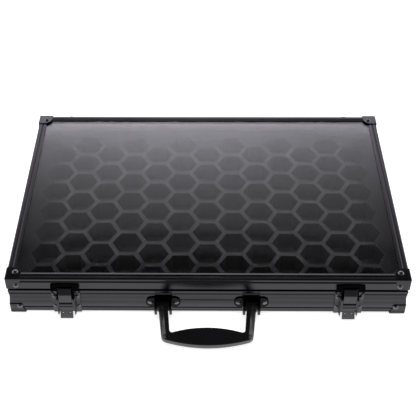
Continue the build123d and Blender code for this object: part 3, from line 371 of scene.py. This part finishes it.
def finish_piece(bm, name, materials, body, slot, *nodes):
    """Writes the mesh, and lets the piece ride on its body in place of its CAD nodes."""
    bmesh.ops.recalc_face_normals(bm, faces=bm.faces)
    data = bpy.data.meshes.new(name)
    bm.to_mesh(data)
    bm.free()
    for material in materials:
        data.materials.append(material)
    piece = bpy.data.objects.new(name, data)
    bpy.context.scene.collection.objects.link(piece)
    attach(piece, body)
    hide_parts(*nodes)


def edges_among(verts):
    """The edges that join these vertices to each other."""
    members = set(verts)
    return list({e for v in verts for e in v.link_edges if e.other_vert(v) in members})


# The skin's second pair of colours is its painted shade at the sides and over the front cells.
foam_skin = closed_cell_foam(
    "black_foam_skin", ("#212123", "#1c1c1e"), ("#131314", "#101011"), 0.4
)
# The cut foam's darker colours are painted shade for the deep cells and the pad.
cut_foam_painted_shade = closed_cell_foam(
    "black_cut_foam_painted_shade", ("#121213", "#0d0d0e"), ("#121213", "#0d0d0e"), 0.8
)
low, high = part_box("honeycomb_insert")
bm = bmesh.new()
apothem = (CELL_PITCH - CELL_WALL) / 2
# Each loop up a cell's wall: its height, and how far the rounded rim has opened there.
steps = [(low.z, 0.0)] + [
    (high.z - RIM_ROUND * (1 - sin(lean)), RIM_ROUND * (1 - cos(lean)))
    for lean in (0, pi / 6, pi / 3, pi / 2)
]
cell_loops = []
for column in range(CELL_COLUMNS):
    for cell in range(CELLS_PER_COLUMN):
        x = (column - (CELL_COLUMNS - 1) / 2) * CELL_PITCH * sqrt(3) / 2
        row = cell - (CELLS_PER_COLUMN - 1) / 2 + (column % 2 - 0.5) / 2
        y = row * CELL_PITCH - CELLS_FORWARD + CASE_Y
        loops = []
        for z, out in steps:
            ring = bmesh.ops.create_circle(
                bm,
                cap_ends=False,
                segments=6,
                radius=(apothem + out) * 2 / sqrt(3),
                matrix=Matrix.Translation((x, y, z)) @ Matrix.Rotation(pi / 6, 4, "Z"),
            )["verts"]
            loops.append(ring)
        cell_loops.append(loops)
top_edges = []
for loops in cell_loops:
    rings = [edges_among(ring) for ring in loops]
    for lower, upper in zip(rings, rings[1:]):
        bmesh.ops.bridge_loops(bm, edges=lower + upper)
    top_edges += rings[-1]
outline = bmesh.ops.create_circle(
    bm, cap_ends=False, segments=4, radius=sqrt(0.5), matrix=Matrix.Rotation(pi / 4, 4, "Z")
)["verts"]
size = high - low
middle = (high + low) / 2
bmesh.ops.scale(bm, verts=outline, vec=(size.x, size.y, 1))
bmesh.ops.translate(bm, verts=outline, vec=(middle.x, middle.y, high.z))
outline_edges = edges_among(outline)
skirt = bmesh.ops.extrude_edge_only(bm, edges=outline_edges)["geom"]
skirt_verts = [item for item in skirt if isinstance(item, bmesh.types.BMVert)]
bmesh.ops.translate(bm, verts=skirt_verts, vec=(0, 0, low.z - high.z))
bmesh.ops.triangle_fill(
    bm,
    use_beauty=True,
    use_dissolve=False,
    edges=top_edges + outline_edges,
    normal=(0, 0, 1),
)
bm.normal_update()
for face in bm.faces:
    face.material_index = 0 if face.normal.z > SKIN_NORMAL else 1
finish_piece(
    bm, "honeycomb_foam", [foam_skin, cut_foam_painted_shade], "base", "foam_black", "honeycomb_insert"
)

low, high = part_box("foam_pad")
size = high - low
middle = (high + low) / 2
bm = bmesh.new()
bmesh.ops.create_cube(
    bm, size=1.0, matrix=Matrix.Translation(middle) @ Matrix.Diagonal((*size, 1))
)
bmesh.ops.bevel(
    bm, geom=bm.edges[:], offset=PAD_EDGE, segments=2, profile=0.5, affect="EDGES", material=-1
)
finish_piece(bm, "foam_bed", [cut_foam_painted_shade], "base", "foam_black", "foam_pad")


# Clear window: one sheet of 3 mm cast acrylic, polished, held on all four sides in the lid rails'
# slot. It mirrors the room towards its rear edge and lets the honeycomb show at its front.
def cast_acrylic(name):
    """Clear hard gloss, with the faint long waves of a cast sheet. Lamps shine through it."""
    made, tree = new_material(name)
    place = add_node(tree, "ShaderNodeTexCoord")
    waves = add_node(
        tree,
        "ShaderNodeTexNoise",
        {"Vector": place.outputs["Object"]},
        {"Scale": 9.0, "Detail": 1.0},
    )
    relief = add_node(
        tree,
        "ShaderNodeBump",
        {"Height": waves.outputs["Fac"]},
        {"Strength": 0.08, "Distance": 0.4 * MM},
    )
    skin = add_node(
        tree,
        "ShaderNodeBsdfPrincipled",
        {"Normal": relief.outputs[0]},
        {
            "Base Color": colour("#fbfcfc"),
            "Roughness": 0.02,
            "IOR": 1.49,
            "Transmission Weight": 1.0,
        },
    )
    gap = add_node(tree, "ShaderNodeBsdfTransparent")
    ray = add_node(tree, "ShaderNodeLightPath")
    both = add_node(
        tree,
        "ShaderNodeMixShader",
        {0: ray.outputs["Is Shadow Ray"], 1: skin.outputs[0], 2: gap.outputs[0]},
    )
    add_node(tree, "ShaderNodeOutputMaterial", {"Surface": both.outputs[0]})
    return made


dress(["lid_window"], cast_acrylic("clear_cast_acrylic"))


# Corner guards: four on the lid and four on the base, pressed from sheet steel and riveted through
# the rails. A black powder coat gives them a soft gloss, brighter where their edges are pressed.
SAME_POINT, SAME_PLANE = 0.002 * MM, radians(0.4)
SHARP_EDGE = radians(28)
GUARD_EDGE = 0.25 * MM
CORNERS = ("front_left", "front_right", "rear_right", "rear_left")
BODY_OF = {
    node: body
    for body, nodes in frame["record"]["behaviour"]["bodies"].items()
    for node in nodes
}


def coated_steel(name, tint, rough, peel):
    """Coated sheet steel: a thin hard coat with faint orange peel about 1.5 mm across."""
    made, tree = new_material(name)
    place = add_node(tree, "ShaderNodeTexCoord")
    orange_peel = add_node(
        tree,
        "ShaderNodeTexNoise",
        {"Vector": place.outputs["Object"]},
        {"Scale": 650.0, "Detail": 2.0},
    )
    cloud = add_node(
        tree,
        "ShaderNodeTexNoise",
        {"Vector": place.outputs["Object"]},
        {"Scale": 70.0, "Detail": 3.0},
    )
    relief = add_node(
        tree,
        "ShaderNodeBump",
        {"Height": orange_peel.outputs["Fac"]},
        {"Strength": peel, "Distance": 0.2 * MM},
    )
    polish = add_node(
        tree,
        "ShaderNodeMapRange",
        {"Value": cloud.outputs["Fac"]},
        {"To Min": rough - 0.06, "To Max": rough + 0.06},
    )
    shade = add_node(
        tree,
        "ShaderNodeMix",
        {"Factor": cloud.outputs["Fac"]},
        {"A": colour(tint[0]), "B": colour(tint[1])},
        data_type="RGBA",
    )
    skin = add_node(
        tree,
        "ShaderNodeBsdfPrincipled",
        {
            "Base Color": shade.outputs["Result"],
            "Roughness": polish.outputs[0],
            "Normal": relief.outputs[0],
        },
        {"Metallic": 1.0},
    )
    add_node(tree, "ShaderNodeOutputMaterial", {"Surface": skin.outputs[0]})
    return made


def merged_copy(node):
    """The CAD piece's mesh with its flat faces whole again."""
    bm = bmesh.new()
    bm.from_mesh(frame["nodes"][node].data)
    bmesh.ops.remove_doubles(bm, verts=bm.verts, dist=SAME_POINT)
    bmesh.ops.dissolve_limit(bm, angle_limit=SAME_PLANE, verts=bm.verts, edges=bm.edges)
    return bm


def eased_piece(bm, node, name, material, slot, width):
    """The piece with its pressed or moulded edges eased, standing where the CAD piece stands."""
    data = bpy.data.meshes.new(name)
    bm.to_mesh(data)
    bm.free()
    data.materials.append(material)
    data.polygons.foreach_set("use_smooth", [True] * len(data.polygons))
    data.polygons.foreach_set("material_index", [0] * len(data.polygons))
    piece = bpy.data.objects.new(name, data)
    bpy.context.scene.collection.objects.link(piece)
    eased = piece.modifiers.new("eased_edges", "BEVEL")
    eased.width = width
    eased.segments = 2
    eased.profile = 0.5
    eased.limit_method = "ANGLE"
    eased.angle_limit = SHARP_EDGE
    flat = piece.modifiers.new("flat_faces", "WEIGHTED_NORMAL")
    flat.weight = 100
    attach(piece, BODY_OF[node])
    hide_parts(node)


def eased_copy(node, name, *finish):
    """The CAD piece in its own shape, with eased edges."""
    eased_piece(merged_copy(node), node, name, *finish)


guard_coat = coated_steel("black_coated_steel", ("#414043", "#484749"), 0.12, 0.08)
for part in ("lid", "base"):
    for corner in CORNERS:
        eased_copy(
            f"{part}_guard_{corner}",
            f"pressed_{part}_guard_{corner}",
            guard_coat,
            "guard_coated",
            GUARD_EDGE,
        )


# Rivets, studs and pins: turned and domed steel, closed over the pieces that they hold. Black
# nickel plate mirrors more than the coats around it, so each dome has a bright crescent.
rivet_plate = coated_steel("black_nickel_steel", ("#707174", "#7a7b7e"), 0.12, 0.05)
riveted = [name for name in frame["nodes"] if name.endswith(("rivets", "studs", "pins"))]
dress(riveted, rivet_plate)


# Latches, handle brackets and hinges: stamped steel, each riveted to its rail, with a thin black
# electrophoretic coat of soft gloss. The latch hoods and the brackets are darker and glossier.
STAMPED_EDGE, HOOD_EDGE = 0.2 * MM, 0.3 * MM
latch_coat = coated_steel("black_stamped_steel", ("#4f4e51", "#575658"), 0.18, 0.12)
hood_coat = coated_steel("black_glossy_steel", ("#1f1f20", "#262526"), 0.15, 0.1)
for hand in ("left", "right"):
    for part in ("plate", "lever", "link"):
        eased_copy(
            f"latch_{part}_{hand}",
            f"stamped_latch_{part}_{hand}",
            latch_coat,
            "latch_coated",
            STAMPED_EDGE,
        )
    eased_copy(
        f"latch_keeper_{hand}", f"stamped_latch_hood_{hand}", hood_coat, "latch_coated", HOOD_EDGE
    )
    eased_copy(
        f"handle_bracket_{hand}", f"stamped_bracket_{hand}", hood_coat, "latch_coated", HOOD_EDGE
    )
    for leaf in ("lid", "base"):
        eased_copy(
            f"hinge_{leaf}_leaf_{hand}",
            f"stamped_{leaf}_hinge_{hand}",
            latch_coat,
            "hinge_coated",
            STAMPED_EDGE,
        )


# Handle: one moulding in black nylon, hung on two pins in the brackets, with its grip on the floor
# at rest. The mould's fine spark-eroded grain gives it a low satin sheen.
def moulded_nylon(name, tint, rough):
    """Moulded nylon or rubber: grain about 0.4 mm across, smoother or duller by its roughness."""
    made, tree = new_material(name)
    place = add_node(tree, "ShaderNodeTexCoord")
    grain = add_node(
        tree,
        "ShaderNodeTexNoise",
        {"Vector": place.outputs["Object"]},
        {"Scale": 2400.0, "Detail": 2.0},
    )
    cloud = add_node(
        tree,
        "ShaderNodeTexNoise",
        {"Vector": place.outputs["Object"]},
        {"Scale": 60.0, "Detail": 3.0},
    )
    relief = add_node(
        tree,
        "ShaderNodeBump",
        {"Height": grain.outputs["Fac"]},
        {"Strength": 0.3, "Distance": 0.1 * MM},
    )
    polish = add_node(
        tree,
        "ShaderNodeMapRange",
        {"Value": cloud.outputs["Fac"]},
        {"To Min": rough - 0.05, "To Max": rough + 0.07},
    )
    shade = add_node(
        tree,
        "ShaderNodeMix",
        {"Factor": cloud.outputs["Fac"]},
        {"A": colour(tint[0]), "B": colour(tint[1])},
        data_type="RGBA",
    )
    skin = add_node(
        tree,
        "ShaderNodeBsdfPrincipled",
        {
            "Base Color": shade.outputs["Result"],
            "Roughness": polish.outputs[0],
            "Normal": relief.outputs[0],
        },
        {"IOR": 1.53},
    )
    add_node(tree, "ShaderNodeOutputMaterial", {"Surface": skin.outputs[0]})
    return made


nylon = moulded_nylon("black_moulded_nylon", ("#0a0a0b", "#0e0d0f"), 0.23)
HANDLE_EDGE = 0.6 * MM
# The middle of the pins' axis, and the ways along the lowered handle and up through it.
PIN = Vector((0, CASE_Y - 158 * MM, 18 * MM))
REST = radians(15.2)
ONWARD = Vector((0, -cos(REST), -sin(REST)))
ACROSS = Vector((0, -sin(REST), cos(REST)))
# Heights from the moulding's middle plane, and where its hubs end and its outer side begins.
CHAMFER_FOOT, TOP_FACE, SAME_HEIGHT = 2.1 * MM, 5.5 * MM, 0.02 * MM
HUB_END = -0.5 * MM
POST_LINE, POST_LEAN, GRIP_LINE = 49.4 * MM, 0.085, 37.3 * MM
# The outer side is a post's beyond POST_SIDE from the middle, and the grip's beyond POST_FOOT from
# the pins. One passes into the other over BEND.
POST_SIDE, POST_FOOT, BEND = 40 * MM, 34 * MM, 6 * MM
# The posts' outer sides lean in from the underside, and the grip's front is upright. Each step is
# the height of an edge loop, then its new height and its way out on the grip and on the posts.
STEPS = [
    (CHAMFER_FOOT, (4.6 * MM, 0), (-4.3 * MM, 0)),
    (TOP_FACE, (TOP_FACE, 2.5 * MM), (TOP_FACE, -2.2 * MM)),
    (-CHAMFER_FOOT, (-3.2 * MM, 0), (-4.9 * MM, 0)),
    (-TOP_FACE, (-TOP_FACE, 1.1 * MM), (-TOP_FACE, 2.6 * MM)),
]
bm = merged_copy("handle")
for vert in bm.verts:
    reach = (vert.co - PIN).dot(ONWARD)
    rise = (vert.co - PIN).dot(ACROSS)
    half_span = abs(vert.co.x)
    outside = half_span > POST_LINE - POST_LEAN * reach or reach > GRIP_LINE
    if reach < HUB_END or not outside:
        continue
    sideways = (half_span - POST_SIDE) / BEND - max(0.0, reach - POST_FOOT) / BEND
    sideways = min(1.0, max(0.0, sideways))
    outward = Vector((1 if vert.co.x > 0 else -1, 0, 0)) * sideways
    for at, (grip_rise, grip_out), (post_rise, post_out) in STEPS:
        if abs(rise - at) < SAME_HEIGHT:
            lift = grip_rise + (post_rise - grip_rise) * sideways - at
            vert.co += ACROSS * lift + outward * post_out + ONWARD * grip_out * (1 - sideways)
eased_piece(bm, "handle", "moulded_handle", nylon, "handle_black", HANDLE_EDGE)


# Rear feet: four moulded rubber buttons, riveted through the middle, that the case stands on when
# it is set on its back edge. Rubber scatters the light, so they look greyer than the nylon.
rubber = moulded_nylon("black_moulded_rubber", ("#1b1b1c", "#232324"), 0.6)
dress(["lid_rear_feet", "base_rear_feet"], rubber)


# Floor: a white paper sweep that glows white to the camera, with a thin line of painted shade
# where the case stands on it: occlusion darkens the glow there. That is what the camera sees. In a
# mirror it is another floor that glows, with painted bright and dark strips, set so that the rails
# look as they do in the photograph.
CASE_WIDTH, CASE_DEPTH = 457 * MM, 304 * MM
FLOOR_SIZE = 8.0
SHADE_REACH = 1.4 * MM
FLOOR_GLOW = 0.75
PAPER = (0.8, 0.8, 0.8, 1)
WHITE = (1, 1, 1, 1)
# The painted light of the floor in a mirror: its glow by the distance from the case in metres.
PAINTED_POOL = [
    (0.0, 0.3), (0.003, 0.9), (0.006, 1.25), (0.009, 1.3), (0.014, 0.7), (0.018, 0.55),
    (0.021, 0.8), (0.026, 1.1), (0.035, 0.95), (0.05, 1.05), (0.1, 0.75), (0.16, 0.35),
    (0.3, 0.18), (1.0, 0.12),
]


def graph(tree, socket, points, span):
    """A curve through points of (value, level), for a value from 0 to span."""
    curve = add_node(tree, "ShaderNodeFloatCurve")
    drawn = curve.mapping.curves[0]
    top = max(level for _, level in points)
    curve.mapping.use_clip = False
    scaled = add_node(tree, "ShaderNodeMath", {0: socket}, {1: 1 / span}, operation="MULTIPLY")
    tree.links.new(scaled.outputs[0], curve.inputs["Value"])
    while len(drawn.points) < len(points):
        drawn.points.new(0.5, 0.5)
    for point, (at, level) in zip(drawn.points, points):
        point.location = (at / span, level / top)
        point.handle_type = "VECTOR"
    curve.mapping.update()
    full = add_node(tree, "ShaderNodeMath", {0: curve.outputs[0]}, {1: top}, operation="MULTIPLY")
    return full.outputs[0]


bm = bmesh.new()
bmesh.ops.create_grid(bm, x_segments=1, y_segments=1, size=FLOOR_SIZE / 2)
floor_mesh = bpy.data.meshes.new("studio_floor")
bm.to_mesh(floor_mesh)
bm.free()
floor = bpy.data.objects.new("studio_floor", floor_mesh)
bpy.context.scene.collection.objects.link(floor)
made, tree = new_material("white_floor")
ray = add_node(tree, "ShaderNodeLightPath")
mirror_ray = add_node(
    tree,
    "ShaderNodeMath",
    {0: ray.outputs["Is Glossy Ray"], 1: ray.outputs["Is Transmission Ray"]},
    operation="MAXIMUM",
)
spot = add_node(tree, "ShaderNodeNewGeometry")
centred = add_node(
    tree,
    "ShaderNodeVectorMath",
    {0: spot.outputs["Position"]},
    {1: (0, CASE_Y, 0)},
    operation="SUBTRACT",
)
folded = add_node(tree, "ShaderNodeVectorMath", {0: centred.outputs[0]}, operation="ABSOLUTE")
beyond = add_node(
    tree,
    "ShaderNodeVectorMath",
    {0: folded.outputs[0]},
    {1: (CASE_WIDTH / 2, CASE_DEPTH / 2, 0)},
    operation="SUBTRACT",
)
outside = add_node(
    tree, "ShaderNodeVectorMath", {0: beyond.outputs[0]}, {1: (0, 0, 0)}, operation="MAXIMUM"
)
away = add_node(tree, "ShaderNodeVectorMath", {0: outside.outputs[0]}, operation="LENGTH")
painted_pool = graph(tree, away.outputs["Value"], PAINTED_POOL, 1.0)
# Occlusion paints the thin shade line into the glow that the camera sees.
contact_shade_mask = add_node(
    tree, "ShaderNodeAmbientOcclusion", values={"Distance": SHADE_REACH}, samples=8
)
shaded_glow_level = add_node(
    tree, "ShaderNodeMath", {0: contact_shade_mask.outputs["AO"]}, {1: FLOOR_GLOW}, operation="MULTIPLY"
)
glow_level = add_node(
    tree,
    "ShaderNodeMix",
    {"Factor": ray.outputs["Is Camera Ray"], "B": shaded_glow_level.outputs[0]},
    {"A": 0.0},
    data_type="FLOAT",
)
paper = add_node(tree, "ShaderNodeBsdfDiffuse", values={"Color": PAPER})
glow = add_node(
    tree, "ShaderNodeEmission", {"Strength": glow_level.outputs["Result"]}, {"Color": WHITE}
)
seen = add_node(tree, "ShaderNodeAddShader", {0: paper.outputs[0], 1: glow.outputs[0]})
# In a mirror the floor is only this glow: painted bright and dark strips.
mirrored = add_node(tree, "ShaderNodeEmission", {"Strength": painted_pool}, {"Color": WHITE})
total = add_node(
    tree,
    "ShaderNodeMixShader",
    {0: mirror_ray.outputs[0], 1: seen.outputs[0], 2: mirrored.outputs[0]},
)
add_node(tree, "ShaderNodeOutputMaterial", {"Surface": total.outputs[0]})
floor_mesh.materials.append(made)


# Studio: plain soft light on every colour, and a white backdrop to the camera. Gloss mirrors
# another room, with a bright band behind the case and low walls at its sides. It was fitted to the
# photograph, and if gloss mirrored the backdrop, the window would be an even grey.
PLAIN_LIGHT = 0.55
MIRRORED_LIGHT = (0.94, 0.915, 1.0, 1)
BAND_TURN = radians(1.2)
# BAND and WALLS are levels by the height of the direction, 0 level and 1 straight up. The other
# two are by degrees round from straight behind the case. BAND's heights from 0.6136 to 0.6945 are
# what the window mirrors at picture rows about 12 apart, and its levels there were fitted to the
# brightness of the photograph at those rows.
BAND = [
    (0.0, 0.6), (0.25, 1.0), (0.43, 1.4), (0.55, 2.6), (0.585, 4.4), (0.603, 4.3),
    (0.608, 3.2), (0.6136, 2.45), (0.6239, 1.95), (0.6347, 1.6), (0.6441, 1.3),
    (0.6547, 1.04), (0.6639, 0.8), (0.6743, 0.65), (0.6833, 0.5), (0.6945, 0.38),
    (0.6965, 0.19), (0.7135, 0.17), (0.7155, 0.04), (0.79, 0.03), (0.84, 0.8), (0.92, 0.8),
    (0.95, 0.02), (1.0, 0.02),
]
BAND_ROUND = [
    (0.0, 1.0), (3.0, 0.98), (6.0, 0.87), (9.0, 0.73), (11.0, 0.65), (14.0, 0.53),
    (20.0, 0.44), (40.0, 0.38), (90.0, 0.28), (130.0, 0.1), (180.0, 0.06),
]
WALLS = [(0.0, 1.3), (0.22, 1.3), (0.42, 0.3), (0.55, 0.0), (1.0, 0.0)]
WALLS_ROUND = [(0.0, 0.3), (25.0, 0.4), (45.0, 1.0), (100.0, 1.0), (140.0, 0.2), (180.0, 0.1)]
world = bpy.data.worlds.new("studio")
bpy.context.scene.world = world
world.use_nodes = True
tree = world.node_tree
tree.nodes.clear()
ray = add_node(tree, "ShaderNodeLightPath")
direction = add_node(tree, "ShaderNodeTexCoord")
split = add_node(tree, "ShaderNodeSeparateXYZ", {0: direction.outputs["Generated"]})
turn = add_node(
    tree,
    "ShaderNodeMath",
    {0: split.outputs["X"], 1: split.outputs["Y"]},
    operation="ARCTAN2",
)
turn = add_node(tree, "ShaderNodeMath", {0: turn.outputs[0]}, {1: BAND_TURN})
turn = add_node(tree, "ShaderNodeMath", {0: turn.outputs[0]}, operation="ABSOLUTE")
turn = add_node(tree, "ShaderNodeMath", {0: turn.outputs[0]}, operation="DEGREES")
band = add_node(
    tree,
    "ShaderNodeMath",
    {
        0: graph(tree, split.outputs["Z"], BAND, 1.0),
        1: graph(tree, turn.outputs[0], BAND_ROUND, 180.0),
    },
    operation="MULTIPLY",
)
sky = add_node(
    tree,
    "ShaderNodeMath",
    {
        0: graph(tree, split.outputs["Z"], WALLS, 1.0),
        1: graph(tree, turn.outputs[0], WALLS_ROUND, 180.0),
        2: band.outputs[0],
    },
    operation="MULTIPLY_ADD",
)
mirrored = add_node(
    tree, "ShaderNodeBackground", {"Strength": sky.outputs[0]}, {"Color": MIRRORED_LIGHT}
)
plain = add_node(
    tree, "ShaderNodeBackground", values={"Color": WHITE, "Strength": PLAIN_LIGHT}
)
white = add_node(tree, "ShaderNodeBackground", values={"Color": WHITE, "Strength": 1.0})
by_gloss = add_node(
    tree,
    "ShaderNodeMixShader",
    {0: ray.outputs["Is Glossy Ray"], 1: plain.outputs[0], 2: mirrored.outputs[0]},
)
by_camera = add_node(
    tree,
    "ShaderNodeMixShader",
    {0: ray.outputs["Is Camera Ray"], 1: by_gloss.outputs[0], 2: white.outputs[0]},
)
add_node(tree, "ShaderNodeOutputWorld", {"Surface": by_camera.outputs[0]})


def softbox(name, at, towards, size, power):
    """A square studio light."""
    data = bpy.data.lights.new(name, "AREA")
    data.shape = "SQUARE"
    data.size = size
    data.energy = power
    lamp = bpy.data.objects.new(name, data)
    lamp.location = at
    lamp.rotation_euler = (Vector(towards) - Vector(at)).to_track_quat("-Z", "Y").to_euler()
    bpy.context.scene.collection.objects.link(lamp)
    return lamp


SOFTBOX_AT, SOFTBOX_SIZE, SOFTBOX_WATTS = (0.0, 0.2, 1.9), 1.6, 22
overhead = softbox("overhead", SOFTBOX_AT, (0, 0, 0), SOFTBOX_SIZE, SOFTBOX_WATTS)
overhead.visible_glossy = False


# Camera: it stands in front of the case and looks down on it, at the photograph's viewing angle.
# Its place is given in case widths from the middle of the case's foot, its picture in pixels.
EYE_IN_WIDTHS = Vector((-0.0097, -1.8416, 1.7571))
AZIMUTH, ELEVATION, ROLL = radians(-1.1025), radians(42.74), radians(-0.599)
SENSOR = 36
FOCAL_PIXELS, PICTURE, AXIS_PIXEL = 905.7, 416, 190.9
eye = EYE_IN_WIDTHS * CASE_WIDTH + Vector((0, CASE_Y, 0))
ahead = Vector(
    (sin(AZIMUTH) * cos(ELEVATION), cos(AZIMUTH) * cos(ELEVATION), -sin(ELEVATION))
)
level_right = Vector((cos(AZIMUTH), -sin(AZIMUTH), 0))
level_up = level_right.cross(ahead)
right = level_right * cos(ROLL) + level_up * sin(ROLL)
up = level_up * cos(ROLL) - level_right * sin(ROLL)
camera_data = bpy.data.cameras.new("camera")
camera_data.sensor_width = SENSOR
camera_data.lens = SENSOR * FOCAL_PIXELS / PICTURE
camera_data.shift_x = (PICTURE / 2 - AXIS_PIXEL) / PICTURE
camera = bpy.data.objects.new("camera", camera_data)
camera.matrix_world = Matrix(
    (
        (right.x, up.x, -ahead.x, eye.x),
        (right.y, up.y, -ahead.y, eye.y),
        (right.z, up.z, -ahead.z, eye.z),
        (0, 0, 0, 1),
    )
)
bpy.context.scene.collection.objects.link(camera)
bpy.context.scene.camera = camera
bpy.context.scene.view_settings.view_transform = "Standard"
